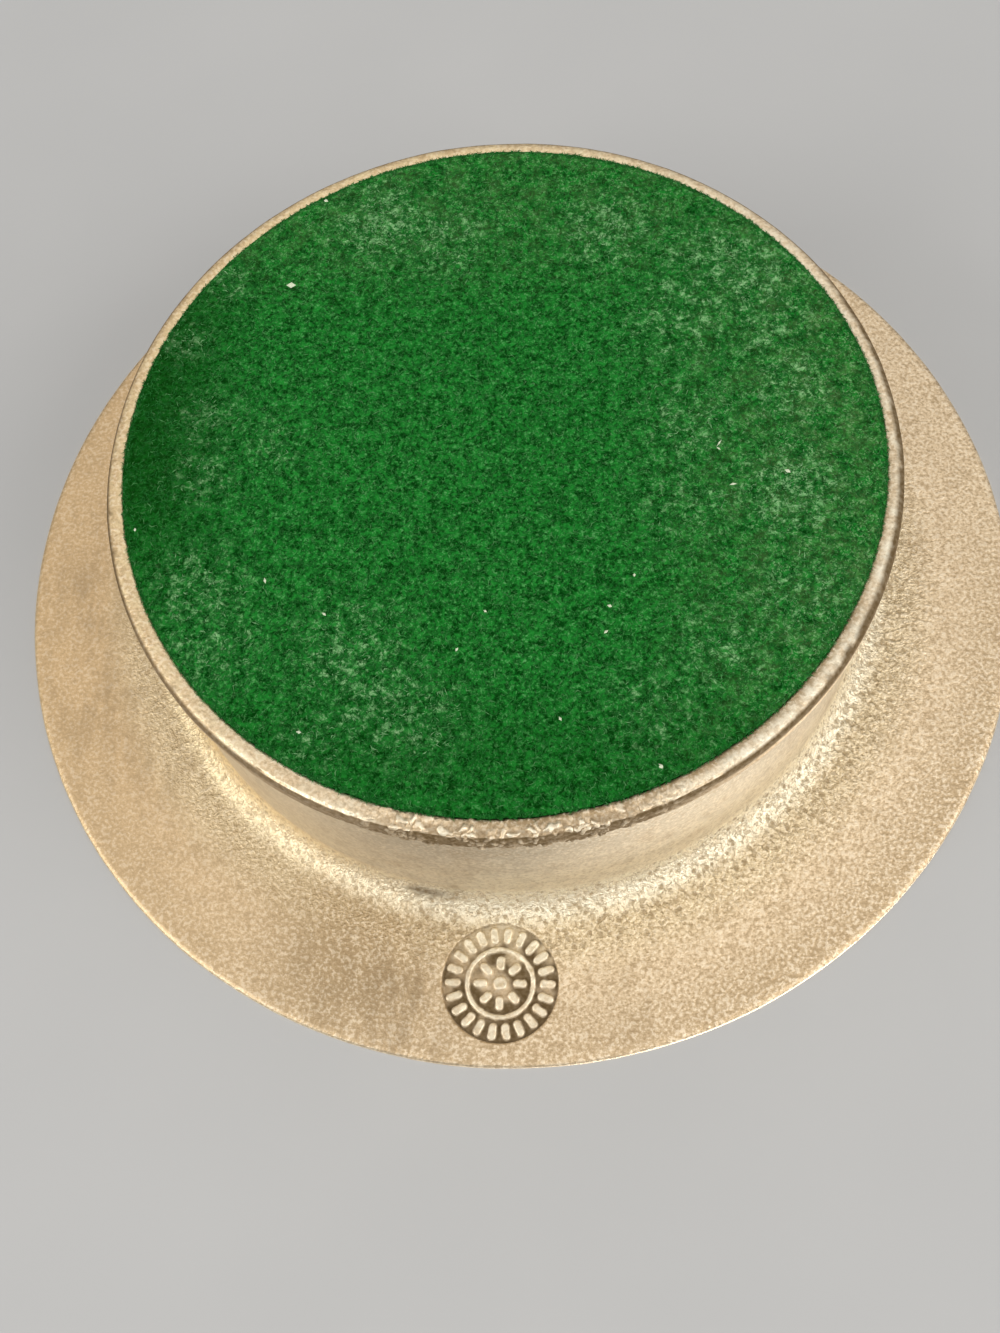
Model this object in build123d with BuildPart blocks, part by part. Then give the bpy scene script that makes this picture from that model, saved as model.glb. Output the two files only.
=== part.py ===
from build123d import *
import math
import os

# Wine bottle coaster as it stands in use: a one-piece cast cup with a broad flange, on a felt disc.
# Millimetres, +Z up. The origin is on the table, under the middle of the felt.

# Well that takes the bottle's foot
well_diameter = 107.0
well_depth = 35.1  # from the floor to the top of the rim
floor_fillet = 4.0
lip_radius = 8.0

# Walls of the casting
floor_thickness = 3.35
wall_thickness = 3.0  # at the foot of the neck
neck_draft = 1.0  # added to the neck's radius between its foot and the flange
flare_radius = 5.0

# Flange
flange_width = 25.0  # from the top of the neck to the edge of the rim
flange_thickness = 2.4
flange_rise = 1.2  # the rim stands this much higher than the flange at the neck
rim_round_share = 0.2  # rounding of the rim's two corners, of the flange's thickness

# Bead round the foot
bead_projection = 1.8  # beyond the neck
bead_height = 4.6
ring_width = 2.5  # metal between the felt's recess and the outside of the bead
ring_edge_share = 0.12  # roundings of the bead's underside, of the ring's width
shoulder_share = 0.4
crown_share = 0.6  # roundings where the bead meets the neck, of its projection
cove_share = 0.3

# Felt disc and the film that holds it
felt_thickness = 1.5
felt_proud = 0.4  # the felt reaches this far below the bead
felt_clearance = 0.3  # gap between the felt and the wall of its recess
felt_edge_round = 0.3
film_thickness = 0.15
film_inset = 0.5  # the film stops this far inside the felt's edge

# Sunk roundel under the flange, with a border of lobes, a raised band and a rosette
roundel_rim_gap = 3.4  # from the roundel to the edge of the rim
roundel_neck_gap = 3.6  # from the roundel to the top of the neck
roundel_depth = 0.6
relief_height = 0.45  # of the raised work, above the roundel's floor
lobe_length = 2.6
lobe_width = 1.3
lobe_pitch = 2.1
lobe_inset = 0.5  # from the roundel's wall to the lobes
band_gap = 0.5  # from the lobes to the band
band_width = 0.8
petal_length = 2.2
petal_width = 1.3
petal_pitch = 2.4
petal_gap = 0.5  # from the band to the petals
boss_diameter = 2.2

# Radii, from the well outwards
well_radius = well_diameter / 2
neck_foot_radius = well_radius + wall_thickness
neck_top_radius = neck_foot_radius + neck_draft
rim_radius = neck_top_radius + flange_width
bead_radius = neck_foot_radius + bead_projection
recess_radius = bead_radius - ring_width
felt_radius = recess_radius - felt_clearance
film_radius = felt_radius - film_inset

# Heights, from the table upwards
foot_bottom = felt_proud
bead_top = foot_bottom + bead_height
recess_ceiling = felt_thickness + film_thickness
floor_top = recess_ceiling + floor_thickness
rim_top = floor_top + well_depth
rim_underside = rim_top - flange_thickness
neck_underside = rim_underside - flange_rise
flange_slope = flange_rise / flange_width
lip_top = rim_top - flange_slope * (rim_radius - well_radius)

# Roundings of the section
rim_round = rim_round_share * flange_thickness
ring_edge_round = ring_edge_share * ring_width
bead_shoulder = shoulder_share * ring_width
bead_crown = crown_share * bead_projection
bead_cove = cove_share * bead_projection

# Half section of the casting, counter-clockwise from the axis: radius, height, rounding of the corner
section_corners = [
    (0, recess_ceiling, 0),
    (recess_radius, recess_ceiling, 0),
    (recess_radius, foot_bottom, ring_edge_round),
    (bead_radius, foot_bottom, bead_shoulder),
    (bead_radius, bead_top, bead_crown),
    (neck_foot_radius, bead_top, bead_cove),
    (neck_top_radius, neck_underside, flare_radius),
    (rim_radius, rim_underside, rim_round),
    (rim_radius, rim_top, rim_round),
    (well_radius, lip_top, lip_radius),
    (well_radius, floor_top, floor_fillet),
    (0, floor_top, 0),
]
section_points = [(radius, height) for radius, height, rounding in section_corners]
section_roundings = [rounding for radius, height, rounding in section_corners]

# The roundel lies square to the sloping underside of the flange, towards -Y
roundel_radius = (flange_width - roundel_rim_gap - roundel_neck_gap) / 2
roundel_reach = rim_radius - roundel_rim_gap - roundel_radius
roundel_height = neck_underside + flange_slope * (roundel_reach - neck_top_radius)
slope_angle = math.atan(flange_slope)
roundel_floor = Plane(
    origin=(0, -roundel_reach, roundel_height),
    x_dir=(1, 0, 0),
    z_dir=(0, -math.sin(slope_angle), -math.cos(slope_angle)),
).offset(-roundel_depth)
lobe_ring_radius = roundel_radius - lobe_inset - lobe_length / 2
lobe_count = round(2 * math.pi * lobe_ring_radius / lobe_pitch)
band_radius = lobe_ring_radius - lobe_length / 2 - band_gap
petal_ring_radius = band_radius - band_width - petal_gap - petal_length / 2
petal_count = round(2 * math.pi * petal_ring_radius / petal_pitch)

os.makedirs("parts", exist_ok=True)

# Cast body: cup, neck, bead and flange in one piece
with BuildPart() as cast_body:
    with BuildSketch(Plane.XZ):
        with BuildLine():
            FilletPolyline(*section_points, radius=section_roundings, close=True)
        make_face()
    revolve(axis=Axis.Z)
    # The cut runs on below the flange, because the flare's foot reaches over the roundel's edge
    with BuildSketch(roundel_floor):
        Circle(roundel_radius)
    extrude(amount=roundel_depth + flare_radius, mode=Mode.SUBTRACT)
    with BuildSketch(roundel_floor):
        Circle(band_radius)
        Circle(band_radius - band_width, mode=Mode.SUBTRACT)
        with PolarLocations(lobe_ring_radius, lobe_count):
            SlotOverall(lobe_length, lobe_width)
        with PolarLocations(petal_ring_radius, petal_count):
            SlotOverall(petal_length, petal_width)
        Circle(boss_diameter / 2)
    extrude(amount=relief_height)
cast_body.part.label = "cast_body"
export_step(cast_body.part, "parts/cast_body.step")

# Felt disc that the coaster stands on
with BuildPart() as felt_pad:
    with BuildSketch():
        Circle(felt_radius)
    extrude(amount=felt_thickness)
    fillet(felt_pad.edges().group_by(Axis.Z)[0], felt_edge_round)
felt_pad.part.label = "felt_pad"
export_step(felt_pad.part, "parts/felt_pad.step")

# Adhesive film between the felt and the casting
with BuildPart() as adhesive_film:
    with BuildSketch(Plane.XY.offset(felt_thickness)):
        Circle(film_radius)
    extrude(amount=film_thickness)
adhesive_film.part.label = "adhesive_film"
export_step(adhesive_film.part, "parts/adhesive_film.step")

print("cast body", cast_body.part.bounding_box().size, "felt diameter", 2 * felt_radius)
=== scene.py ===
import math

import bmesh
import bpy
import numpy as np
from mathutils import Matrix, Vector, noise


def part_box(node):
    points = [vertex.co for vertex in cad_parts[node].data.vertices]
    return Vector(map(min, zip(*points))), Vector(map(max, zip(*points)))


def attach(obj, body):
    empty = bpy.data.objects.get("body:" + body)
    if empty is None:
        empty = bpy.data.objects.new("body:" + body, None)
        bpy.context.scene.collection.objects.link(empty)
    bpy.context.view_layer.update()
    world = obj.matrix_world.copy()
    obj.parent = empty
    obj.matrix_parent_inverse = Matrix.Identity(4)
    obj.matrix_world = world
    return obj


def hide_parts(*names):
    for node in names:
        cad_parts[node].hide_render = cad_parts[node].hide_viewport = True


# Wine bottle coaster as it stands in use, in metres, +Z up: a cast cup with a broad flange, on a
# felt disc. The camera looks at the felt side, so it stands below the coaster and is turned over.

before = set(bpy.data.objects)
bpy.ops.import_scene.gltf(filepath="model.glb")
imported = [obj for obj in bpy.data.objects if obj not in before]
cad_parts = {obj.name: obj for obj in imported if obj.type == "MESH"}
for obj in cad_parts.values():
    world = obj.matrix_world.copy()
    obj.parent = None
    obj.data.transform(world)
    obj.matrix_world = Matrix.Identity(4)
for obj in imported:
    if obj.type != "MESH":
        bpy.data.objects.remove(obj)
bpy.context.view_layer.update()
MM = 0.001

# Sizes taken from the frame
BODY_HIGH = Vector(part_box("cast_body")[1])
FELT_LOW = Vector(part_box("felt_pad")[0])
FELT_HIGH = Vector(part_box("felt_pad")[1])
RIM_RADIUS = BODY_HIGH.x
RIM_TOP = BODY_HIGH.z
FELT_RADIUS = FELT_HIGH.x

# Camera, in the frame of the turned-over coaster: its origin is in the rim's widest circle and
# the felt is up
PHOTO_WIDTH = 1000
PHOTO_HEIGHT = 1333
FOCAL_PIXELS = 1450
SENSOR_WIDTH = 36.0
CAMERA_PLACE = Vector((-4.97, -110.8, 221.57)) * MM
CAMERA_ELEVATION = math.radians(67.06)
CAMERA_ROLL = math.radians(9.49)
ROUNDEL_BEARING = math.radians(10.55)
RIM_WIDEST = 38.9 * MM

# Casting mesh: steps along its section, gaps between its rings and arcs between their points
WELD_DISTANCE = 0.001 * MM
WALK_STEP = 0.05 * MM
SOFTENING = 0.32 * MM
SOFTENING_REACH = 4 * SOFTENING
SEGMENTS = 640
OUTSIDE_GAP = 0.9 * MM
INSIDE_GAP = 3.0 * MM
CEILING_GAP = 6.0 * MM
RINGS_PER_RADIAN = 1.0
OUTSIDE_ARC = 0.5 * MM
INSIDE_ARC = 1.3 * MM
CEILING_ARC = 3.0 * MM
WANDER = 0.07 * MM
WANDER_SIZE = 14 * MM
GRAIN = 0.02 * MM
GRAIN_SIZE = 2.0 * MM

# Sunk roundel under the flange, towards -Y
FLANGE_LEVEL = 0.5 * RIM_TOP  # the flange lies above this height
FLANGE_FROM = 64 * MM
FLANGE_TO = 80 * MM
LOOKS_DOWN = -0.3  # a face with a normal lower than this looks down
ROUNDEL_RADIUS = 9.0 * MM
ROUNDEL_REACH = 70.1 * MM
ROUNDEL_DEPTH = 0.6 * MM
ROUNDEL_WALL = 0.4 * MM
ROUNDEL_MARGIN = 1.0 * MM
ROUNDEL_CUTS = 4
SLOPE_RUN = 4 * MM
SHALLOW_FROM = 3 * MM
SHALLOW_SHARE = 0.35
RELIEF_HEIGHT = 0.45 * MM
RELIEF_EDGE = 0.25 * MM
RELIEF_SHAKE = 0.12 * MM
RELIEF_WEAR = 0.4
LOBE_RING = 7.2 * MM
LOBE_LENGTH = 2.6 * MM
LOBE_WIDTH = 1.3 * MM
LOBE_COUNT = 22
BAND_RADIUS = 5.0 * MM
BAND_WIDTH = 0.8 * MM
PETAL_RING = 3.0 * MM
PETAL_LENGTH = 2.2 * MM
PETAL_WIDTH = 1.3 * MM
PETAL_COUNT = 8
BOSS_RADIUS = 1.1 * MM

# Lumps on the front of the bead, towards -Y
BEAD_RADIUS = FELT_RADIUS + 2.8 * MM
BEAD_TOP = 5.0 * MM
NUGGET_LENGTH = 1.35 * MM
NUGGET_WIDTH = 0.95 * MM
NUGGET_HEIGHT = 0.5 * MM
NUGGET_LEVEL = 0.35  # share of that height at which the plain bead lies
NUGGET_WARP = 0.8
NUGGET_WARP_SIZE = 1.5 * MM
NUGGET_SPAN = math.radians(36)
NUGGET_CUTS = 3

# Felt
FELT_GRID = 290
FELT_REACH = 0.42 * MM
FELT_FUZZ = 0.08 * MM
FELT_FUZZ_SIZE = 1.1 * MM
FELT_FUZZ_START = 0.97  # share of the radius
FELT_EDGE = 1.3 * MM
FELT_EDGE_DROP = 0.34 * MM
FELT_SIDE_REACH = 0.25 * MM
FELT_SIDE_ROWS = 3
FELT_NAP = 0.05 * MM
FELT_NAP_SIZE = 1.3 * MM
FELT_SWELL_SIZE = 9 * MM
FRONT_TRIM = 0.55 * MM  # the felt stops this much sooner at the front, where the ring is broader


def ramp(value, low, high):
    """0 up to low, 1 from high on, smooth between them."""
    share = np.clip((value - low) / (high - low), 0, 1)
    return share * share * (3 - 2 * share)


def ripple(points, size, octaves=2, seed=0.0):
    """Smooth noise at each point, with bumps of about the given size."""
    shift = Vector((seed, seed, seed))
    places = (Vector(point) / size + shift for point in points)
    return np.array([noise.fractal(place, 1.0, 2.0, octaves) for place in places])


def front_share(x, y):
    """1 at the front, towards -Y, falling to 0 past the sides."""
    return ramp(-y / np.maximum(np.hypot(x, y), MM), -0.3, 0.55)


def circle(radius, height, count):
    """Points spread evenly round the Z axis."""
    turn = np.arange(count) * (2 * math.pi / count)
    return list(zip(radius * np.cos(turn), radius * np.sin(turn), np.full(count, height)))


def placed(name, data):
    """An object in the scene."""
    thing = bpy.data.objects.new(name, data)
    bpy.context.collection.objects.link(thing)
    return thing


def shell(points, faces):
    """Closed surfaces, with their faces turned outwards, as a bmesh."""
    made = bpy.data.meshes.new("shell")
    made.from_pydata(points, [], faces)
    mesh = bmesh.new()
    mesh.from_mesh(made)
    bpy.data.meshes.remove(made)
    bmesh.ops.recalc_face_normals(mesh, faces=mesh.faces)
    return mesh


def finished(name, mesh, zones, material, smooth=True):
    """A piece made of a bmesh. Its zones are values on its points, for its material to read."""
    made = bpy.data.meshes.new(name)
    mesh.to_mesh(made)
    mesh.free()
    if smooth:
        made.shade_smooth()
    for zone, values in zones.items():
        stored = made.attributes.new(zone, "FLOAT", "POINT")
        stored.data.foreach_set("value", values.astype(np.float32))
    made.materials.append(material)
    return placed(name, made)


# Materials

class Wire:
    """One output in a material's nodes. Arithmetic on it adds Math nodes."""

    def __init__(self, finish, socket):
        self.finish = finish
        self.socket = socket

    def maths(self, operation, *values):
        return self.finish.node("ShaderNodeMath", {"operation": operation}, dict(enumerate(values)))

    def __add__(self, other):
        return self.maths("ADD", self, other)

    __radd__ = __add__

    def __sub__(self, other):
        return self.maths("SUBTRACT", self, other)

    def __rsub__(self, other):
        return self.maths("SUBTRACT", other, self)

    def __mul__(self, other):
        return self.maths("MULTIPLY", self, other)

    __rmul__ = __mul__

    def __truediv__(self, other):
        return self.maths("DIVIDE", self, other)

    def __pow__(self, other):
        return self.maths("POWER", self, other)

    def ramp(self, low, high):
        """0 up to low, 1 from high on, smooth between them."""
        sockets = {"Value": self, "From Min": low, "From Max": high}
        return self.finish.node("ShaderNodeMapRange", {"interpolation_type": "SMOOTHSTEP"}, sockets)


class Nodes:
    """The nodes of a material or of the world."""

    def __init__(self, owner):
        self.owner = owner
        owner.use_nodes = True
        self.tree = owner.node_tree

    def feed(self, socket, value):
        if isinstance(value, Wire):
            self.tree.links.new(value.socket, socket)
        else:
            socket.default_value = value

    def node(self, kind, settings=None, sockets=None, out=0):
        made = self.tree.nodes.new(kind)
        for name, value in (settings or {}).items():
            setattr(made, name, value)
        for name, value in (sockets or {}).items():
            self.feed(made.inputs[name], value)
        return Wire(self, made.outputs[out])

    def mix(self, first, second, share):
        """A colour between two colours."""
        sockets = {0: share, 6: first, 7: second}
        return self.node("ShaderNodeMix", {"data_type": "RGBA"}, sockets, out=2)

    def coated(self, base, coats):
        """A colour with others laid over it in turn, each with its share."""
        for tint, share in coats:
            base = self.mix(base, tint, share)
        return base


class Finish(Nodes):
    """A procedural material. Its places and sizes are in millimetres."""

    def __init__(self, name):
        super().__init__(bpy.data.materials.new(name))
        self.surface = self.tree.nodes["Principled BSDF"]
        metres = self.node("ShaderNodeTexCoord", out="Object")
        sockets = {0: metres, "Scale": 1 / MM}
        self.place = self.node("ShaderNodeVectorMath", {"operation": "SCALE"}, sockets)

    def noise(self, size, detail=2.0, roughness=0.5, distortion=0.0, place=None):
        """Cloudy values about 0.5, with clouds of the given size."""
        sockets = {
            "Vector": place or self.place,
            "Scale": 1 / size,
            "Detail": detail,
            "Roughness": roughness,
            "Distortion": distortion,
        }
        return self.node("ShaderNodeTexNoise", {}, sockets)

    def dots(self, pitch, share, place, ragged):
        """Ragged dots about the given pitch apart, as wide as a share of it, with some left out."""
        sockets = {"Vector": place, "Scale": 1 / pitch}
        away = self.node("ShaderNodeTexVoronoi", {}, sockets, out="Distance") + (ragged - 0.5) * 0.5
        chance = self.node("ShaderNodeTexVoronoi", {}, sockets, out="Color")
        chance = self.node("ShaderNodeSeparateColor", {}, {0: chance})
        return (1 - away.ramp(0.4 * share, 1.3 * share)) * chance.ramp(0.1, 0.5)

    def stretched(self, x, y, z):
        """The place with its axes scaled."""
        sockets = {0: self.place, 1: (x, y, z)}
        return self.node("ShaderNodeVectorMath", {"operation": "MULTIPLY"}, sockets)

    def zone(self, name):
        """A value stored on the mesh's points."""
        return self.node("ShaderNodeAttribute", {"attribute_name": name}, out="Fac")

    def relief(self, height):
        """A normal for a height in millimetres."""
        return self.node("ShaderNodeBump", {}, {"Strength": 1.0, "Distance": MM, "Height": height})

    def shade(self, **sockets):
        for name, value in sockets.items():
            self.feed(self.surface.inputs[name.replace("_", " ")], value)


def colour(red, green, blue):
    return (red, green, blue, 1.0)


# Colours of the casting
CHAMPAGNE = colour(0.775, 0.625, 0.435)
WARM_CHAMPAGNE = colour(0.68, 0.50, 0.295)
FLARE_CREAM = colour(0.74, 0.66, 0.46)
NECK_GREY = colour(0.665, 0.625, 0.53)
NECK_SHADE_GREY = colour(0.35, 0.315, 0.255)
NECK_CREAM = colour(0.97, 0.92, 0.79)
CUP_CHAMPAGNE = colour(0.74, 0.655, 0.52)
TARNISH_AND_SHADE_BROWN = colour(0.45, 0.335, 0.20)
BLOTCH_BROWN = colour(0.50, 0.37, 0.225)
GRAIN_SHADE = colour(0.40, 0.29, 0.17)
GRAIN_LIGHT = colour(1.0, 0.90, 0.74)
MOTTLE_GREY = colour(0.42, 0.37, 0.30)
SMUDGE_AND_SHADE_BROWN = colour(0.26, 0.185, 0.105)
HIGHLIGHT_AND_WEAR_CREAM = colour(0.97, 0.94, 0.80)
HIGHLIGHT_AND_WEAR_GOLD = colour(0.97, 0.84, 0.53)
PIT_BROWN = colour(0.36, 0.27, 0.155)
GRIME_AND_SHADE_BROWN = colour(0.120, 0.080, 0.036)

# Pits are as wide as drawn at this radius, in millimetres, and drawn out a little down the flare
PIT_CIRCLE = 62
PIT_SQUEEZE = 0.75


def cast_metal():
    """Champagne-coloured cast metal: sand grain, dark pits, stains, smooth neck, edges painted
    bright as highlights and wear, and painted shade among the grime.
    """
    finish = Finish("champagne_cast_metal")
    neck = finish.zone("neck")
    flare = finish.zone("flare")
    pitted = finish.zone("pitted")
    warm = finish.zone("warm")
    cup = finish.zone("cup")
    smudge_and_shade = finish.zone("smudge_and_shade")
    tarnish_and_shade = finish.zone("tarnish_and_shade")
    neck_shade = finish.zone("neck_shade")
    pale = finish.zone("pale")
    grime_and_shade = finish.zone("grime_and_shade")
    highlight_and_wear = finish.zone("highlight_and_wear")

    x, y, z = (
        finish.node("ShaderNodeSeparateXYZ", {}, {0: finish.place}, out=axis) for axis in "XYZ"
    )
    radius = (x * x + y * y) ** 0.5
    sockets = {
        "X": x / radius * PIT_CIRCLE,
        "Y": y / radius * PIT_CIRCLE,
        "Z": (radius + z) * PIT_SQUEEZE,
    }
    drawn_out = finish.node("ShaderNodeCombineXYZ", {}, sockets)

    sandy = (1 - 0.45 * neck) * (0.35 + 0.55 * pitted)
    clouds = finish.noise(6.0, detail=3.0)
    blotches = finish.noise(1.8, roughness=0.6)
    grain = finish.noise(0.55, roughness=0.6)
    fine_grain = finish.noise(0.3, detail=1.0)
    hollows = finish.noise(0.85, roughness=0.6, distortion=0.8, place=drawn_out)
    pits = finish.dots(1.3, 0.32, drawn_out, fine_grain)
    pits = pits.maths("MAXIMUM", pits, 0.7 * hollows.ramp(0.53, 0.64)) * flare * pitted
    specks = grain.ramp(0.60, 0.72) * blotches.ramp(0.45, 0.65) * pitted * (1 - 0.8 * neck)
    dark = pits + 0.35 * specks * (1 - pits)
    mottle = finish.noise(2.4, detail=4.0, roughness=0.6).ramp(0.42, 0.68) * neck
    smeared = finish.stretched(0.35, 0.12, 0.2)
    smears = finish.noise(1.0, detail=4.0, roughness=0.6, place=smeared)
    soil_and_shade = grime_and_shade * (0.75 + 0.5 * finish.noise(0.7))
    scrapes = finish.noise(1.0, detail=3.0, roughness=0.65)
    patchy_highlight_and_wear = highlight_and_wear * (0.45 + 0.55 * scrapes.ramp(0.40, 0.56))
    metal = finish.coated(CHAMPAGNE, [
        # darker, warmer tone on one side, partly painted shade
        (WARM_CHAMPAGNE, warm),
        (FLARE_CREAM, flare * 0.5),
        (NECK_GREY, neck * 0.9),
        # painted shade on the neck near the bead
        (NECK_SHADE_GREY, neck_shade * 0.7),
        # painted light on the neck near the flange
        (NECK_CREAM, pale * 0.6),
        (CUP_CHAMPAGNE, cup * 0.8),
        # tarnish, partly painted shade
        (TARNISH_AND_SHADE_BROWN, tarnish_and_shade),
        (TARNISH_AND_SHADE_BROWN, clouds.ramp(0.52, 0.8) * 0.3),
        (BLOTCH_BROWN, blotches.ramp(0.5, 0.7) * 0.3 * (1 - 0.6 * neck)),
        (GRAIN_SHADE, grain.ramp(0.50, 0.34) * 0.65 * sandy),
        (GRAIN_LIGHT, grain.ramp(0.48, 0.66) * 0.65 * sandy),
        (MOTTLE_GREY, mottle * 0.25),
        # smudges, partly painted shade
        (SMUDGE_AND_SHADE_BROWN, smudge_and_shade * smears.ramp(0.35, 0.65) * 0.8),
        # painted highlights, with some real wear, on the flare, the rim's edge, the bead and the
        # ring
        (finish.mix(HIGHLIGHT_AND_WEAR_CREAM, HIGHLIGHT_AND_WEAR_GOLD, warm), patchy_highlight_and_wear),
        (PIT_BROWN, dark * 0.82),
        # grime and a stain, with painted shade in the bead's cove and flank, between the lumps and
        # in the roundel
        (GRIME_AND_SHADE_BROWN, soil_and_shade * 0.95),
    ])
    peel = grain * 0.16 + fine_grain * 0.05 + blotches * 0.12
    height = peel * sandy * (1 + 1.2 * flare) - pits * 0.12 - specks * 0.04
    finish.shade(
        Base_Color=metal,
        Metallic=(1 - 0.5 * dark) * (1 - 0.9 * soil_and_shade) * (1 - 0.3 * highlight_and_wear),
        Roughness=0.46 + 0.12 * grain + 0.06 * neck - 0.12 * highlight_and_wear + 0.2 * dark + 0.3 * soil_and_shade,
        Specular_IOR_Level=0.15,
        Normal=finish.relief(height),
    )
    return finish.owner


# Colours of the felt and of its loose fibres
DEEP_GREEN = colour(0.001, 0.038, 0.003)
WOOL_GREEN = colour(0.015, 0.210, 0.028)
HAIR_GREEN = colour(0.100, 0.345, 0.115)
DUST_GREEN = colour(0.110, 0.215, 0.075)
FRAYED_GREEN = colour(0.230, 0.400, 0.195)
SCUFF_GREEN = colour(0.085, 0.260, 0.090)
PALE_GREEN = colour(0.160, 0.410, 0.160)
PALE_HAIR = colour(0.390, 0.620, 0.350)
SHADED_GREEN = colour(0.002, 0.034, 0.001)
SHEEN_GREEN = colour(0.35, 0.75, 0.40)
FIBRE_DARK = colour(0.004, 0.072, 0.009)
FIBRE_GREEN = colour(0.024, 0.205, 0.040)
FIBRE_PALE = colour(0.190, 0.400, 0.190)
LINT_WHITE = colour(0.66, 0.74, 0.58)


def green_felt():
    """Deep green wool felt: matted fibres, mottled, paler where it is scuffed."""
    finish = Finish("green_wool_felt")
    scuffed = finish.zone("scuffed")
    dusty = finish.zone("dusty")
    deep = finish.zone("deep")
    tangle = finish.noise(0.65, detail=4.0, roughness=0.65, distortion=0.5)
    tufts = finish.noise(3.5, detail=3.0, roughness=0.6)
    hairs = finish.noise(0.45, roughness=0.6, distortion=1.2)
    clumps = finish.noise(2.0, detail=3.0, roughness=0.6)
    flecks = finish.noise(1.5, detail=4.0, roughness=0.65, distortion=0.8)
    matted = (tangle * 0.6 + clumps * 0.4).ramp(0.39, 0.61)
    frayed = hairs.ramp(0.50, 0.64) * clumps.ramp(0.40, 0.60)
    pale = (flecks * 0.75 + clumps * 0.25 + 0.08 * scuffed).ramp(0.55, 0.68)
    pale = pale * scuffed.ramp(0.05, 0.5)
    wool = finish.coated(DEEP_GREEN, [
        (WOOL_GREEN, matted),
        (HAIR_GREEN, hairs.ramp(0.52, 0.70) * (0.3 + 0.6 * matted)),
        (DUST_GREEN, dusty * tufts.ramp(0.35, 0.7) * 0.35),
        (FRAYED_GREEN, frayed * (0.45 * dusty + 0.25 * scuffed)),
        (SCUFF_GREEN, scuffed * clumps.ramp(0.35, 0.65) * 0.1),
        (PALE_GREEN, pale * (0.6 + 0.4 * matted)),
        (PALE_HAIR, pale * hairs.ramp(0.48, 0.66) * 0.65),
        # painted shade on the felt, from its deep zone
        (SHADED_GREEN, deep * 0.7),
    ])
    finish.shade(
        Base_Color=wool,
        Roughness=1.0,
        Specular_IOR_Level=0.0,
        Sheen_Weight=0.03,
        Sheen_Roughness=0.5,
        Sheen_Tint=SHEEN_GREEN,
        Normal=finish.relief(tangle * 0.3 + hairs * 0.15),
    )
    return finish.owner


def felt_fibre():
    """Loose wool fibres on the felt, some worn pale, with a little white lint among them."""
    finish = Finish("loose_wool_fibre")
    tone = finish.zone("tone")
    lint = finish.zone("lint")
    patches = finish.noise(0.8)
    wool = finish.coated(FIBRE_DARK, [
        (FIBRE_GREEN, tone * 0.8 + patches * 0.2),
        (FIBRE_PALE, tone.ramp(0.68, 1.0)),
        (LINT_WHITE, lint),
    ])
    finish.shade(Base_Color=wool, Roughness=0.9, Specular_IOR_Level=0.1)
    return finish.owner


AMBER = colour(0.62, 0.50, 0.26)
CLOUDY_AMBER = colour(0.84, 0.78, 0.60)


def glue_film():
    """Dried adhesive: a pale amber film with a few cloudy patches."""
    finish = Finish("dried_adhesive")
    patches = finish.noise(5.0, detail=3.0)
    wrinkles = finish.noise(1.5)
    finish.shade(
        Base_Color=finish.mix(AMBER, CLOUDY_AMBER, patches.ramp(0.35, 0.65)),
        Roughness=0.35 + 0.3 * patches,
        Normal=finish.relief(wrinkles * 0.05),
    )
    return finish.owner


FLOOR_GREY = colour(0.42, 0.435, 0.46)
FLOOR_PALE = colour(0.45, 0.465, 0.49)


def pale_floor():
    """Pale studio floor that shows from its front only."""
    finish = Finish("pale_floor")
    tone = finish.mix(FLOOR_GREY, FLOOR_PALE, finish.noise(40.0))
    finish.shade(Base_Color=tone, Roughness=0.8, Specular_IOR_Level=0.2)
    front = Wire(finish, finish.surface.outputs[0])
    back = finish.node("ShaderNodeNewGeometry", out="Backfacing")
    clear = finish.node("ShaderNodeBsdfTransparent")
    shown = finish.node("ShaderNodeMixShader", {}, {0: back, 1: front, 2: clear})
    finish.feed(finish.tree.nodes["Material Output"].inputs["Surface"], shown)
    return finish.owner


# Casting

# Dark smudges under the flange, partly painted shade: x, y and spread in millimetres, and strength
SMUDGES_AND_SHADE = [
    (15, -73, 6, 0.6), (15, -79, 5, 0.6), (23, -73, 6, 0.4), (9, -58, 3, 0.9), (71, -6, 6, 0.5),
    (66, 1, 4, 0.55), (69, -25, 7, 0.4), (57, -35, 6, 0.4), (30, -71, 6, 0.25), (-18, -73, 5, 0.2),
]
# Places where the underside is painted brown, as tarnish and partly as shade, in the same terms
TARNISH_AND_SHADE = [(23, -67, 11, 0.9), (36, -56, 9, 0.25), (13, -75, 6, 0.5)]
# Dark stain where the neck meets the flare: its middle and half its size, round the neck from -Y
# and in height
STAIN_BEARING = math.radians(11)
STAIN_SPREAD = math.radians(3.2)
STAIN_HEIGHT = 34.3 * MM
STAIN_RISE = 0.7 * MM

# Heights over which parts of the casting begin and end
FOOT_END = (BEAD_TOP - 0.2 * MM, BEAD_TOP + 0.6 * MM)
FLANK_END = (1.5 * MM, 2.5 * MM)
SHOULDER_TOP = 3 * MM
COVE_START = (BEAD_TOP - 1.6 * MM, BEAD_TOP - 0.5 * MM)
COVE_END = (BEAD_TOP + 0.3 * MM, BEAD_TOP + 1.2 * MM)
NECK_START = (BEAD_TOP, BEAD_TOP + 1.5 * MM)
NECK_END = (30.5 * MM, 33.5 * MM)
NECK_SHADE_END = (11 * MM, 20 * MM)
PALE_START = (19 * MM, 26 * MM)
FLARE_START = (30.5 * MM, 33.0 * MM)
SMUDGE_AND_SHADE_START = (29 * MM, 32 * MM)
TARNISH_AND_SHADE_START = (31 * MM, 35 * MM)
CUP_BOTTOM = 3 * MM

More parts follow.
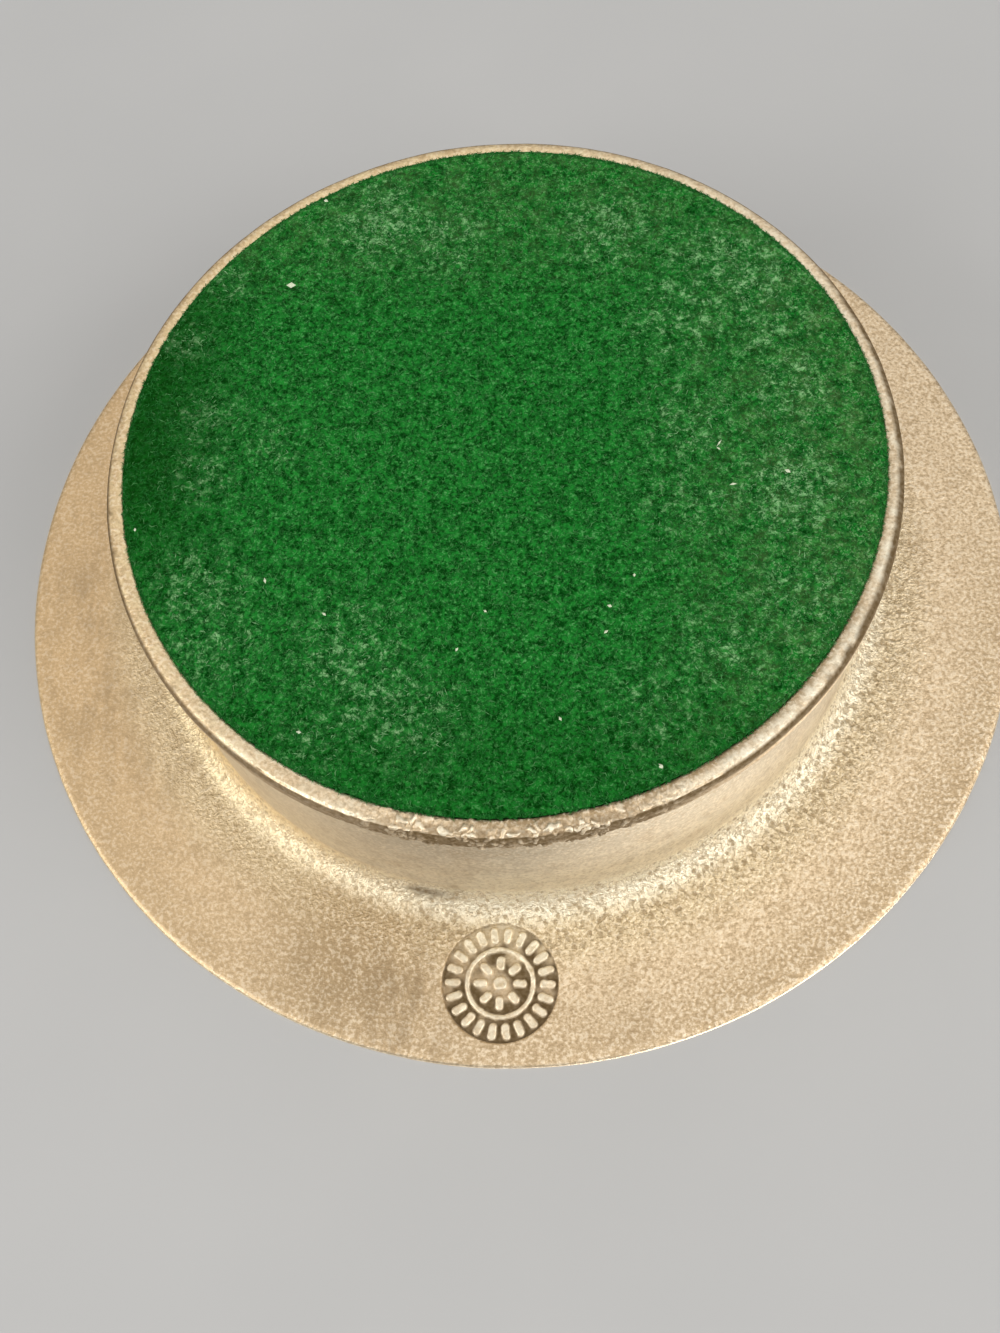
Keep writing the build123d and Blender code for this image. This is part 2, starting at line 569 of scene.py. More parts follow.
# Radii over which they do
OUTSIDE_START = (FELT_RADIUS - 1 * MM, FELT_RADIUS)
INNER_EDGE_END = (FELT_RADIUS + 0.6 * MM, FELT_RADIUS + 1.0 * MM)
INNER_WALL_END = (FELT_RADIUS + 0.5 * MM, FELT_RADIUS + 1.6 * MM)
OUTER_LUMPS_START = (FELT_RADIUS + 0.8 * MM, FELT_RADIUS + 1.7 * MM)
LUMPS_START = (56.0 * MM, 57.0 * MM)  # radius and height added
CUP_END = (54 * MM, 64 * MM)
PALE_END = (57.5 * MM, 60 * MM)
RIDGE_END = (59 * MM, 63 * MM)
FLARE_END = (63 * MM, 72 * MM)
BROWN_RIM = (70 * MM, 81 * MM)
CREST_START = (RIM_RADIUS - 0.5 * MM, RIM_RADIUS - 0.1 * MM)
BRIGHT_RING_START = (0.4 * MM, 1.1 * MM)  # outwards from the felt's edge

# Sides of the casting, as seen from above, that differ in finish and in painted light and shade
PITTED_SIDE = (-0.87, -0.5)
LIT_SIDE = (0.64, -0.77)
BROWN_AND_BRIGHT_RING_SIDE = (-0.7, -0.7)
NECK_PAINTED_SIDE = (-0.45, -0.89)


def casting_section():
    """The casting's half section from the recess over the felt, round the rim, to the well's floor.

    Its points are radius and height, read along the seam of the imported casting.
    """
    mesh = bmesh.new()
    mesh.from_mesh(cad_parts["cast_body"].data)
    bmesh.ops.remove_doubles(mesh, verts=mesh.verts, dist=WELD_DISTANCE)
    seam = {vert for vert in mesh.verts if abs(vert.co.y) < WELD_DISTANCE and vert.co.x > 0}
    beside = {}
    for vert in seam:
        others = [edge.other_vert(vert) for edge in vert.link_edges]
        beside[vert] = [other for other in others if other in seam]
    ends = (vert for vert in seam if len(beside[vert]) == 1)
    walked = [min(ends, key=lambda vert: vert.co.z)]
    while ahead := [vert for vert in beside[walked[-1]] if vert not in walked]:
        walked.append(ahead[0])
    points = [(vert.co.x, vert.co.z) for vert in walked]
    mesh.free()
    return np.array([(0, points[0][1])] + points + [(0, points[-1][1])])


def softened(section):
    """The section at even steps, with its corners softened as casting in sand softens them."""
    along = np.r_[0, np.cumsum(np.hypot(*np.diff(section, axis=0).T))]
    even = np.linspace(0, along[-1], round(along[-1] / WALK_STEP))
    walk = [np.interp(even, along, section[:, axis]) for axis in (0, 1)]
    reach = np.arange(-SOFTENING_REACH, SOFTENING_REACH, WALK_STEP)
    weights = np.exp(-0.5 * (reach / SOFTENING) ** 2)
    weights /= weights.sum()
    before = len(reach) // 2
    after = len(reach) - 1 - before
    padded = [np.pad(line, (before, after), mode="reflect", reflect_type="odd") for line in walk]
    return np.c_[tuple(np.convolve(line, weights, "valid") for line in padded)]


def casting_rings(walk):
    """Rings of the casting's mesh, closest where it shows most: radius, height, point count."""
    radius, height = walk.T
    index = np.arange(len(walk))
    inside = index > height.argmax()
    wall = index[radius > FELT_RADIUS][0]
    ceiling = index < wall
    heading = np.unwrap(np.arctan2(np.gradient(height), np.gradient(radius)))
    turned = np.abs(np.gradient(heading))
    gap = np.select([ceiling, inside], [CEILING_GAP, INSIDE_GAP], OUTSIDE_GAP)
    arc = np.select([ceiling, inside], [CEILING_ARC, INSIDE_ARC], OUTSIDE_ARC)
    passed = np.cumsum(WALK_STEP / gap + RINGS_PER_RADIAN * turned)
    stations = np.searchsorted(passed, np.arange(1, int(passed[-1])))
    counts = []
    for station in stations:
        count = SEGMENTS
        while 2 * math.pi * radius[station] / count < arc[station] and count % 2 == 0:
            count //= 2
        counts.append(count)
    for order in (range(1, len(counts)), range(len(counts) - 2, -1, -1)):
        for i in order:
            beside = counts[i - 1] if order.step > 0 else counts[i + 1]
            counts[i] = max(counts[i], beside // 2)
    return [(radius[station], height[station], count) for station, count in zip(stations, counts)]


def band(first, first_count, second, second_count):
    """Faces between two rings, given by first point and count. One count may be twice the other."""
    if first_count < second_count:
        return [face[::-1] for face in band(second, second_count, first, first_count)]
    faces = []
    share = first_count // second_count
    for i in range(second_count):
        a = [first + (i * share + k) % first_count for k in range(share + 1)]
        b = [second + i, second + (i + 1) % second_count]
        if share == 1:
            faces.append((a[0], a[1], b[1], b[0]))
        else:
            faces += [(a[0], a[1], b[0]), (a[1], b[1], b[0]), (a[1], a[2], b[1])]
    return faces


def lathe(rings, low_pole, high_pole):
    """A closed mesh round the Z axis, as a bmesh."""
    points = []
    faces = []
    starts = []
    for radius, height, count in rings:
        starts.append(len(points))
        points += circle(radius, height, count)
    for i in range(len(rings) - 1):
        faces += band(starts[i], rings[i][2], starts[i + 1], rings[i + 1][2])
    for ring, pole in ((0, low_pole), (len(rings) - 1, high_pole)):
        first = starts[ring]
        count = rings[ring][2]
        points.append((0, 0, pole))
        faces += [(first + i, first + (i + 1) % count, len(points) - 1) for i in range(count)]
    return shell(points, faces)


def over_roundel(face):
    """Whether a face lies under the flange, in or close to the roundel."""
    middle = face.calc_center_median()
    away = math.hypot(middle.x, middle.y + ROUNDEL_REACH)
    under_flange = face.normal.z < LOOKS_DOWN and middle.z > FLANGE_LEVEL
    return under_flange and away < ROUNDEL_RADIUS + ROUNDEL_MARGIN


def spotted(x, y, spots):
    """Strength of the strongest of some soft round spots, given as x, y, spread and strength."""
    strength = np.zeros(len(x))
    for spot_x, spot_y, spread, most in spots:
        away = np.hypot(x / MM - spot_x, y / MM - spot_y) / spread
        strength = np.maximum(strength, most * np.exp(-0.5 * away ** 2))
    return strength


class Skin:
    """The casting's points, with the shares that most of its zones start from."""

    def __init__(self, points, normals):
        self.points = points
        self.x, self.y, self.z = points.T
        self.radius = np.maximum(np.hypot(self.x, self.y), MM)
        self.outward = (self.x * normals[:, 0] + self.y * normals[:, 1]) / self.radius
        shown = ramp(np.maximum(self.outward, -normals[:, 2]), 0.0, 0.4)
        self.outside = shown * ramp(self.radius, *OUTSIDE_START)

    def towards(self, side):
        """1 for points on the given side of the axis, falling to -1 across from it."""
        return (side[0] * self.x + side[1] * self.y) / self.radius


def bead_zones(skin):
    """Zones of the bead, and of the ring under it that shows beside the felt."""
    x, y, z = skin.points.T
    radius = skin.radius
    outward = skin.outward
    lit = ramp(skin.towards(LIT_SIDE), 0.85, 0.97)
    brown_and_bright_ring = ramp(skin.towards(BROWN_AND_BRIGHT_RING_SIDE), 0.3, 0.8)

    # The bead's outside is painted dark, as patina and shade: at the front all the way up,
    # elsewhere at the foot only, and least where it is lit
    foot = skin.outside * (1 - ramp(z, *FOOT_END))
    away_from_front = np.where(y > 0, 1.0, ramp(np.abs(x) / radius, 0.35, 0.75))
    line_start = 0.6 - 0.3 * away_from_front - 0.2 * ramp(-x / radius, 0.7, 0.98)
    line_start += 0.15 * ripple(skin.points, 1.6 * MM, seed=47.0)
    flank = foot * ramp(outward - line_start, 0.0, 0.2) * (1 - 0.15 * lit)
    flank *= 1 - 0.8 * away_from_front * ramp(z, *FLANK_END)
    # painted shade, with patina, in the cove where the bead meets the neck
    cove = skin.outside * ramp(z, *COVE_START) * (1 - ramp(z, *COVE_END))

    # Towards -X and -Y the ring is brown beside the felt and painted bright further out, as
    # highlight and wear
    streaks = ripple(skin.points, 2.5 * MM, 3, seed=53.0)
    out = radius - FELT_RADIUS + FRONT_TRIM * front_share(x, y)
    out += (0.4 * streaks - 0.85 * brown_and_bright_ring) * MM
    worn = ramp(out, *BRIGHT_RING_START)
    ring = foot * worn * (1 - ramp(outward, 0.3, 0.6)) * (1 + streaks)
    ring *= 0.25 + 0.35 * brown_and_bright_ring + 0.15 * ramp(y / radius, 0.3, 0.9)
    brown_ring = foot * brown_and_bright_ring * (1 - 0.85 * worn) * (1 - 0.7 * ramp(-x / radius, 0.85, 0.97))
    soiled_ring = brown_ring * ramp(streaks, -0.5, 0.3)
    # painted highlight along the ring's inner edge, beside the felt
    inner_edge = foot * (1 - ramp(radius, *INNER_EDGE_END)) * (1 - 0.9 * brown_and_bright_ring)
    # painted highlight on the bead's shoulder, strongest on the lit side
    shoulder = foot * ramp(outward, 0.1, 0.4) * (1 - ramp(outward - line_start, -0.15, 0.1))
    shoulder *= (0.8 + 0.5 * ripple(skin.points, 3 * MM, 3, seed=59.0)) * (z < SHOULDER_TOP)
    shoulder *= 1 + 0.6 * lit + 0.2 * brown_and_bright_ring

    front = np.arctan2(np.abs(x), -y)
    lumpy = foot * (1 - ramp(front, 0.45 * NUGGET_SPAN, NUGGET_SPAN))
    lumpy *= ramp(radius + z, *LUMPS_START) * (1 - 0.85 * lit)
    return {
        "lumpy": lumpy,
        "flank": flank,
        "pitted": 0.85 * foot,
        "tarnish_and_shade": brown_ring,
        "grime_and_shade": np.maximum.reduce([0.9 * cove, flank, 0.4 * soiled_ring]),
        "highlight_and_wear": np.maximum.reduce([shoulder, ring, 0.6 * inner_edge]),
    }


def cup_zones(skin):
    """Zones of the neck, and of the inside of the cup."""
    x, y, z = skin.points.T
    neck = skin.outside * ramp(z, *NECK_START) * (1 - ramp(z, *NECK_END))
    # Towards the front the neck is painted darker near the bead, as shade, and paler near the
    # flange, as painted light
    neck_painted_front = ramp(skin.towards(NECK_PAINTED_SIDE), 0.5, 0.95)
    neck_shade = neck * neck_painted_front * (1 - ramp(z, *NECK_SHADE_END))
    pale = skin.outside * neck_painted_front * ramp(z, *PALE_START) * (1 - ramp(skin.radius, *PALE_END))
    aside = (np.arctan2(x, -y) - STAIN_BEARING) / STAIN_SPREAD
    above = (z - STAIN_HEIGHT) / STAIN_RISE
    stain = skin.outside * np.exp(-0.5 * (aside ** 2 + above ** 2))
    ragged = stain + 0.35 * ripple(skin.points, 1.2 * MM, seed=43.0)
    return {
        "neck": neck,
        "neck_shade": neck_shade,
        "pale": pale,
        "cup": (1 - skin.outside) * (1 - ramp(skin.radius, *CUP_END)) * (z > CUP_BOTTOM),
        "grime_and_shade": 0.8 * ramp(ragged, 0.3, 0.9) * (stain > 0.05),
    }


def flange_zones(skin, foot_pitted):
    """Zones of the flare and the flange. The side towards -X and -Y is paler and more pitted.

    The side away from it is painted darker and warmer, partly as shade.
    """
    x, y, z = skin.points.T
    radius = skin.radius
    outside = skin.outside
    side = skin.towards(PITTED_SIDE)
    flare = outside * ramp(z, *FLARE_START) * (1 - ramp(radius, *FLARE_END))
    pitted = (0.2 + 0.8 * ramp(side, -0.4, 0.6)) * outside
    pitted = np.maximum.reduce([pitted, foot_pitted, 0.5 * flare])
    # painted highlights: a band along the flare near the neck, and the rim's edge, which is
    # polished too
    ridge = flare * (1 - ramp(radius, *RIDGE_END)) * (0.32 + 0.38 * pitted)
    crest = (0.55 - 0.3 * ramp(side, 0.0, 0.6)) * ramp(radius, *CREST_START)
    browned = 0.4 * ramp(-y / radius, 0.2, 0.75) + 0.36 * ramp(side, 0.75, 0.95)
    brown_rim = outside * ramp(radius, *BROWN_RIM) * np.minimum(browned, 0.55)
    tarnish_and_shade_spots = spotted(x, y, TARNISH_AND_SHADE) * outside * ramp(z, *TARNISH_AND_SHADE_START)
    return {
        "flare": flare,
        "pitted": pitted,
        # darker, warmer tone away from the pitted side, partly painted shade
        "warm": ramp(-side, -0.6, 0.8) * (0.4 + 0.6 * outside),
        "smudge_and_shade": spotted(x, y, SMUDGES_AND_SHADE) * outside * ramp(z, *SMUDGE_AND_SHADE_START),
        "tarnish_and_shade": np.maximum(tarnish_and_shade_spots, brown_rim),
        "highlight_and_wear": np.maximum(crest, ridge),
    }


def casting_zones(points, normals):
    """Shares, from 0 to 1, of the casting's differently finished places."""
    skin = Skin(points, normals)
    zones = bead_zones(skin)
    for part in (cup_zones(skin), flange_zones(skin, zones["pitted"])):
        for name, share in part.items():
            zones[name] = np.maximum(zones.get(name, 0), share)
    return zones


def over_lumps(face):
    """Whether a face lies on the front of the bead, where lumps crowd it."""
    middle = face.calc_center_median()
    on_bead = middle.z < BEAD_TOP + 0.3 * MM
    beyond_felt = math.hypot(middle.x, middle.y) > FELT_RADIUS + 0.4 * MM
    at_front = math.atan2(abs(middle.x), -middle.y) < 0.9 * NUGGET_SPAN
    return on_bead and beyond_felt and at_front


def nugget_relief(points):
    """Height, from 0 to 1, of the lumps that crowd the front of the bead, each with its own."""
    x, y, z = points.T
    around = np.arctan2(x, -y) * BEAD_RADIUS / NUGGET_LENGTH
    around += NUGGET_WARP * ripple(points, NUGGET_WARP_SIZE, seed=31.0)
    along = (np.hypot(x, y) + z) / NUGGET_WIDTH
    along += NUGGET_WARP * ripple(points, NUGGET_WARP_SIZE, seed=37.0)
    gaps = []
    domes = []
    for place in zip(around, along):
        (nearest, second, *_), (middle, *_) = noise.voronoi((*place, 0.5))
        gaps.append(second - nearest)
        dome = math.sqrt(max(0.0, 1 - (nearest / 0.9) ** 2))
        domes.append(dome * (0.62 + 1.3 * noise.noise(middle * 4.3)))
    return ramp(np.array(gaps), -0.1, 0.4) * np.clip(domes, 0, 1)


def lobe_ring(x, y, ring, length, width, count):
    """How far places stand inside the nearest of a ring of lobes, which point outwards."""
    pitch = 2 * math.pi / count
    bearing = np.arctan2(y, x)
    turn = bearing - np.round(bearing / pitch) * pitch
    away = np.hypot(x, y)
    beyond = np.maximum(np.abs(away * np.cos(turn) - ring) - (length - width) / 2, 0)
    return width / 2 - np.hypot(away * np.sin(turn), beyond)


def roundel_relief(points, section_height):
    """Each point's share in the roundel, the roundel's height there, its share in raised work."""
    x = points[:, 0]
    out = -points[:, 1] - ROUNDEL_REACH
    away = np.hypot(x, out)
    under = points[:, 2] > FLANGE_LEVEL
    inside = (1 - ramp(away, ROUNDEL_RADIUS - ROUNDEL_WALL, ROUNDEL_RADIUS)) * under
    level = section_height(ROUNDEL_REACH)
    slope = (section_height(ROUNDEL_REACH + SLOPE_RUN) - level) / SLOPE_RUN
    within = np.maximum.reduce([
        lobe_ring(x, out, LOBE_RING, LOBE_LENGTH, LOBE_WIDTH, LOBE_COUNT),
        lobe_ring(x, out, PETAL_RING, PETAL_LENGTH, PETAL_WIDTH, PETAL_COUNT),
        BAND_WIDTH / 2 - np.abs(away - BAND_RADIUS),
        BOSS_RADIUS - away,
    ])
    within += RELIEF_SHAKE * ripple(points, 1.2 * MM, seed=21.0)
    raised = ramp(within, -0.4 * RELIEF_EDGE, 0.6 * RELIEF_EDGE)
    worn = 1 - RELIEF_WEAR * ramp(ripple(points, 2.6 * MM, seed=13.0), -0.1, 0.5)
    # The side towards the neck is less deep
    deep = ROUNDEL_DEPTH * (1 - SHALLOW_SHARE * ramp(-out, SHALLOW_FROM, ROUNDEL_RADIUS))
    return inside, level + slope * out + deep - RELIEF_HEIGHT * raised * worn, raised


def cast_body():
    """The casting, with the wander, grain and lumps of a sand casting in its surface."""
    section = casting_section()
    walk = softened(section)
    mesh = lathe(casting_rings(walk), section[0, 1], section[-1, 1])
    for chosen, cuts in ((over_roundel, ROUNDEL_CUTS), (over_lumps, NUGGET_CUTS)):
        edges = list({edge for face in mesh.faces if chosen(face) for edge in face.edges})
        bmesh.ops.subdivide_edges(mesh, edges=edges, cuts=cuts, use_grid_fill=True)
    mesh.normal_update()
    points = np.array([vert.co for vert in mesh.verts])
    normals = np.array([vert.normal for vert in mesh.verts])
    zones = casting_zones(points, normals)

    radius, height = walk.T
    outer = np.arange(len(walk)) < height.argmax()
    beneath = (radius > FLANGE_FROM) & (radius < FLANGE_TO) & outer
    underside = walk[beneath]

    def section_height(reach):
        return np.interp(reach, underside[:, 0], underside[:, 1])

    inside, floor_height, raised = roundel_relief(points, section_height)
    inside *= normals[:, 2] < 0
    points[:, 2] += inside * (floor_height - points[:, 2])

    lumpy = zones.pop("lumpy")
    crowded = lumpy > 0
    tops = np.zeros(len(points))
    tops[crowded] = nugget_relief(points[crowded])
    lumps = NUGGET_HEIGHT * (tops - NUGGET_LEVEL) * lumpy
    wander = WANDER * ripple(points, WANDER_SIZE, 3)
    x, y, z = points.T
    radius = np.maximum(np.hypot(x, y), MM)
    inner = (z < FELT_HIGH.z + 0.5 * MM) * ramp(radius, *OUTSIDE_START)
    inner *= 1 - ramp(radius, *INNER_WALL_END)
    points[:, :2] *= (1 - FRONT_TRIM * inner * front_share(x, y) / radius)[:, None]
    grain = GRAIN * ripple(points, GRAIN_SIZE, seed=3.0) * (1 - 0.7 * zones["neck"])
    points += normals * (wander + lumps + grain)[:, None]

    # The lumps' tops are painted bright, as highlight and wear, least on the dark outside of the
    # bead, and painted shade fills the outer gaps between them
    outer = ramp(radius, *OUTER_LUMPS_START)
    bright = lumpy * ramp(tops, 0.25, 0.85) * (0.55 + 0.45 * outer)
    bright *= 1 - 0.5 * zones.pop("flank")
    crevice = lumpy * (1 - ramp(tops, 0.0, 0.45)) * (0.2 + 0.4 * outer)
    # The roundel's floor is painted darkest on the side away from the neck, as patina and shade in
    # the recess
    patches = ripple(points, 3 * MM, seed=17.0) - points[:, 1] / (14 * MM) - 4.8
    dark_roundel_floor = ramp(inside, 0.1, 0.7) * (1 - raised) * (0.25 + 0.75 * ramp(patches, -0.4, 0.4))
    cleaned = zones["grime_and_shade"] * (1 - 0.9 * bright)
    highlight_and_wear = zones["highlight_and_wear"] * (1 - lumpy)
    zones["grime_and_shade"] = np.maximum.reduce([cleaned, crevice, dark_roundel_floor])
    zones["highlight_and_wear"] = np.maximum.reduce([highlight_and_wear, 0.7 * bright, inside * raised * 0.5])
    zones["pitted"] *= 1 - 0.8 * inside
    for vert, point in zip(mesh.verts, points):
        vert.co = point
    return finished("casting", mesh, zones, cast_metal())


# Felt

# Scuffed places: x and y on the felt, spread, in millimetres, and strength
SCUFFS = [
    (20, 42, 5, 1.0), (10, 38, 5, 0.7), (49, 20, 3, 0.9), (44, 31, 3, 0.6), (44, 6, 4, 0.7),
    (34, 2, 4, 0.4), (44, -3, 4, 0.6), (-16, 40, 5, 0.8), (-32, 34, 5, 0.8), (-37, 30, 5, 0.9),
    (-26, 23, 6, 0.6), (-40, 22, 5, 0.6), (-28, 5, 6, 0.5), (-43, 11, 5, 0.6), (42, -22, 5, 0.7),
    (39, -31, 5, 0.6), (20, -32, 6, 0.7), (15, -39, 5, 0.8), (10, -42, 5, 0.7), (24, -44, 4, 0.5),
    (-42, -6, 5, 1.0), (-27, -8, 6, 0.4), (-43, -23, 6, 0.5), (-31, -31, 5, 0.5),
    (-22, -40, 5, 0.5),
]
# White lint: x, y, length and width in millimetres, bearing in degrees
LINT = [
    (33.3, 30.2, 1.5, 1.1, 0), (29.1, 46.5, 0.8, 0.6, 20), (-31.9, 1.3, 1.5, 0.25, 123),
    (-31.8, 0.4, 0.8, 0.25, 42), (-33.7, -5.5, 1.1, 0.4, 170), (-41.5, -3.4, 1.0, 0.6, 30),
    (52.5, -12.6, 0.7, 0.4, 80), (32.6, -20.8, 1.0, 0.4, 75), (23.7, -26.0, 0.8, 0.4, 40),
    (25.8, -43.6, 0.8, 0.5, 10), (1.1, -25.5, 0.6, 0.4, 30), (4.8, -31.3, 0.7, 0.4, 120),
    (-23.0, -48.0, 1.0, 0.6, 50), (-16.2, -24.7, 0.8, 0.5, 20), (-15.7, -28.6, 0.8, 0.4, 140),
    (-19.6, -19.9, 0.6, 0.4, 90), (-9.6, -41.4, 0.7, 0.4, 60),
]
# Loose fibres: sizes are ranges in millimetres
FIBRE_COUNT = 30000
EDGE_FIBRES = 4000
FIBRE_SEED = 11
FIBRE_TRIES = 3 * FIBRE_COUNT
FIBRE_LENGTH = (0.5, 1.7)
FIBRE_WIDTH = (0.07, 0.16)
FIBRE_LIFT = (0.02, 0.12)
EDGE_SPREAD = (-0.3, 0.6)
FIBRE_BEND = 0.25  # share of the length
FIBRE_POINTS = 5


def disc_grid(count):
    """A square grid pressed into a disc of radius 1 with even cells: x and y, row by row."""
    line = np.linspace(-1, 1, count)
    u, v = (side.ravel() for side in np.meshgrid(line, line, indexing="ij"))
    wide = np.abs(u) >= np.abs(v)
    radius = np.where(wide, u, v)
    share = np.divide(np.where(wide, v, u), radius, out=np.zeros_like(u), where=radius != 0)
    turn = np.where(wide, share * math.pi / 4, math.pi / 2 - share * math.pi / 4)
    return radius * np.cos(turn), radius * np.sin(turn)


def felt_reach(x, y):
    """How far the felt's face spreads past its cut radius, at places in metres."""
    return FELT_REACH - FRONT_TRIM * front_share(x, y)


def felt_face(x, y):
    """Height of the felt's napped face, which looks down, at places in metres."""
    edge = np.clip((np.hypot(x, y) - FELT_RADIUS - felt_reach(x, y) + FELT_EDGE) / FELT_EDGE, 0, 1)
    drop = FELT_EDGE_DROP * (1 - np.sqrt(1 - np.minimum(edge, 0.999) ** 2))
    flat = np.c_[x, y, np.zeros(len(x))]
    nap = FELT_NAP * ripple(flat, FELT_NAP_SIZE)
    nap += FELT_NAP * ripple(flat, FELT_SWELL_SIZE, seed=5.0)
    return FELT_LOW.z + drop + nap


def felt_pad():
    """The felt disc: an even grid for its face, a soft edge and a flat back against the glue."""
    x, y = disc_grid(FELT_GRID)
    flat = np.c_[x, y, 0 * x] * FELT_RADIUS
    reach = FELT_FUZZ * ripple(flat, FELT_FUZZ_SIZE, seed=9.0) + felt_reach(*flat[:, :2].T)
    size = FELT_RADIUS + ramp(np.hypot(x, y), FELT_FUZZ_START, 1.0) * reach
    x, y = x * size, y * size
    z = felt_face(x, y)
    points = list(zip(x, y, z))
    n = FELT_GRID
    corners = [i * n + j for i in range(n - 1) for j in range(n - 1)]
    faces = [(first, first + 1, first + n + 1, first + n) for first in corners]

    border = list(range(n)) + [i * n + n - 1 for i in range(1, n)]
    border += [(n - 1) * n + j for j in range(n - 2, -1, -1)] + [i * n for i in range(n - 2, 0, -1)]
    edge_x, edge_y, edge_z = x[border], y[border], z[border]
    side_reach = FELT_SIDE_REACH - FRONT_TRIM * front_share(edge_x, edge_y)
    drawn_in = (FELT_RADIUS + side_reach) / np.hypot(edge_x, edge_y)
    count = len(border)
    ring = border
    for row in range(1, FELT_SIDE_ROWS + 1):
        height = edge_z + row / FELT_SIDE_ROWS * (FELT_HIGH.z - edge_z)
        above = [len(points) + k for k in range(count)]
        points += list(zip(edge_x * drawn_in, edge_y * drawn_in, height))
        faces += [(ring[k - 1], above[k - 1], above[k], ring[k]) for k in range(count)]
        ring = above
    faces.append(tuple(ring))

    x, y, z = np.array(points).T
    # The felt is painted darker towards +X and at the -Y edge, as shade
    shaded = ramp(x, 34 * MM, 54 * MM) * ramp(y, -40 * MM, 0) * (1 - ramp(y, 25 * MM, 45 * MM))
    zones = {
        "scuffed": spotted(x, y, SCUFFS),
        "dusty": np.maximum(ramp(-x, 15 * MM, 50 * MM), 0.6 * ramp(y, 22 * MM, 44 * MM)),
        "deep": np.maximum(shaded, 0.35 * ramp(-y, 32 * MM, 48 * MM)),
    }
    return finished("felt_disc", shell(points, faces), zones, green_felt())


def loose_fibres():
    """Loose fibres and lint on the felt's face, as a table of their places, sizes and tones."""
    draw = np.random.default_rng(FIBRE_SEED)
    reach = (FELT_RADIUS - 0.4 * MM) * np.sqrt(draw.random(FIBRE_TRIES))
    bearing = draw.random(FIBRE_TRIES) * 2 * math.pi
    # Loose fibres crowd the scuffed places and the edge
    scuffed = spotted(reach * np.cos(bearing), reach * np.sin(bearing), SCUFFS)
    kept = np.argsort(draw.random(FIBRE_TRIES) / (0.35 + scuffed))[:FIBRE_COUNT]
    reach, bearing = draw.permutation(np.c_[reach, bearing][kept]).T
    reach[-EDGE_FIBRES:] = FELT_RADIUS + draw.uniform(*EDGE_SPREAD, EDGE_FIBRES) * MM
    reach -= FRONT_TRIM * front_share(reach * np.cos(bearing), reach * np.sin(bearing))
    x, y = reach * np.cos(bearing), reach * np.sin(bearing)
    turn = draw.random(FIBRE_COUNT) * 2 * math.pi
    length = draw.uniform(*FIBRE_LENGTH, FIBRE_COUNT) * MM
    length[-EDGE_FIBRES:] *= 0.7
    width = draw.uniform(*FIBRE_WIDTH, FIBRE_COUNT) * MM
    bend = draw.normal(0, FIBRE_BEND, FIBRE_COUNT) * length
    lift = draw.uniform(*FIBRE_LIFT, FIBRE_COUNT) * MM
    # Scuffing leaves pale clumps of short fibres among the green
    worn = spotted(x, y, SCUFFS)
    length *= 1 - 0.5 * worn
    width *= 1 + 0.3 * worn
    clumps = ramp(ripple(np.c_[x, y, 0 * x], 1.6 * MM, seed=29.0) + 0.4 * worn, 0.05, 0.45)
    tone = draw.random(FIBRE_COUNT) * 0.82
    tone = np.clip(tone + worn * clumps * draw.uniform(0.1, 0.6, FIBRE_COUNT), 0, 1)
    # The first fibres are the lint
    *sizes, lint_turn = np.array(LINT).T
    white = np.arange(len(LINT))
    x[white], y[white], length[white], width[white] = np.array(sizes) * MM
    turn[white] = np.radians(lint_turn)
    bend[white] = 0.0
    lint = np.zeros(FIBRE_COUNT)
    lint[white] = 1.0
    return {
        "x": x, "y": y, "turn": turn, "length": length, "width": width,
        "bend": bend, "lift": lift, "tone": tone, "lint": lint,
    }


def felt_nap():
    """Loose fibres on the felt's face: thin bent spindles, each closed, and a few of white lint."""
    fibres = loose_fibres()
    x, y, turn = fibres["x"], fibres["y"], fibres["turn"]
    sizes = ("length", "width", "bend", "lift")
    length, width, bend, lift = (fibres[name][:, None] for name in sizes)
    z = felt_face(x, y)
    along = np.c_[np.cos(turn), np.sin(turn), 0 * turn]
    across = np.c_[-np.sin(turn), np.cos(turn), 0 * turn]
    down = np.array((0, 0, -1.0))
    middle = np.c_[x, y, z] + lift * down
    side = across * width / 2
    half = along * length / 2
    swing = across * bend
    tips = [middle - half + swing, middle + half + swing]
    belly = [middle - side, middle + side, middle + down * width / 2]
    for tip in tips:
        tip[:, 2] = z
    points = np.stack([tips[0], *belly, tips[1]], axis=1).reshape(-1, 3)
    faces = []
    for first in range(0, len(points), FIBRE_POINTS):
        for a, b in ((1, 2), (2, 3), (3, 1)):
            faces += [(first, first + a, first + b), (first + 4, first + b, first + a)]
    zones = {name: np.repeat(fibres[name], FIBRE_POINTS) for name in ("tone", "lint")}
    return finished("felt_nap", shell(points, faces), zones, felt_fibre(), smooth=False)


# Stage, light and camera

TURNED_OVER = (
    Matrix.Translation((0, 0, RIM_WIDEST))
    @ Matrix.Rotation(-ROUNDEL_BEARING, 4, "Z")
    @ Matrix.Rotation(math.pi, 4, "Y")
)
FLOOR_GAP = 0.3 * MM
FLOOR_SINK = 0.5 * MM  # keeps the floor of the turned-over coaster out of sight in low side views
FLOOR_SEGMENTS = 96
SMALL_FLOOR = 0.25
WIDE_FLOOR = 1.5
COVE_RADIUS = 0.8
COVE_STEPS = 12
WALL_HEIGHT = 4.0
WARM_LIGHT = (1.0, 0.95, 0.87)
HORIZON = colour(0.22, 0.205, 0.185)
ZENITH = colour(0.94, 0.90, 0.835)
CLIP_START = 0.01


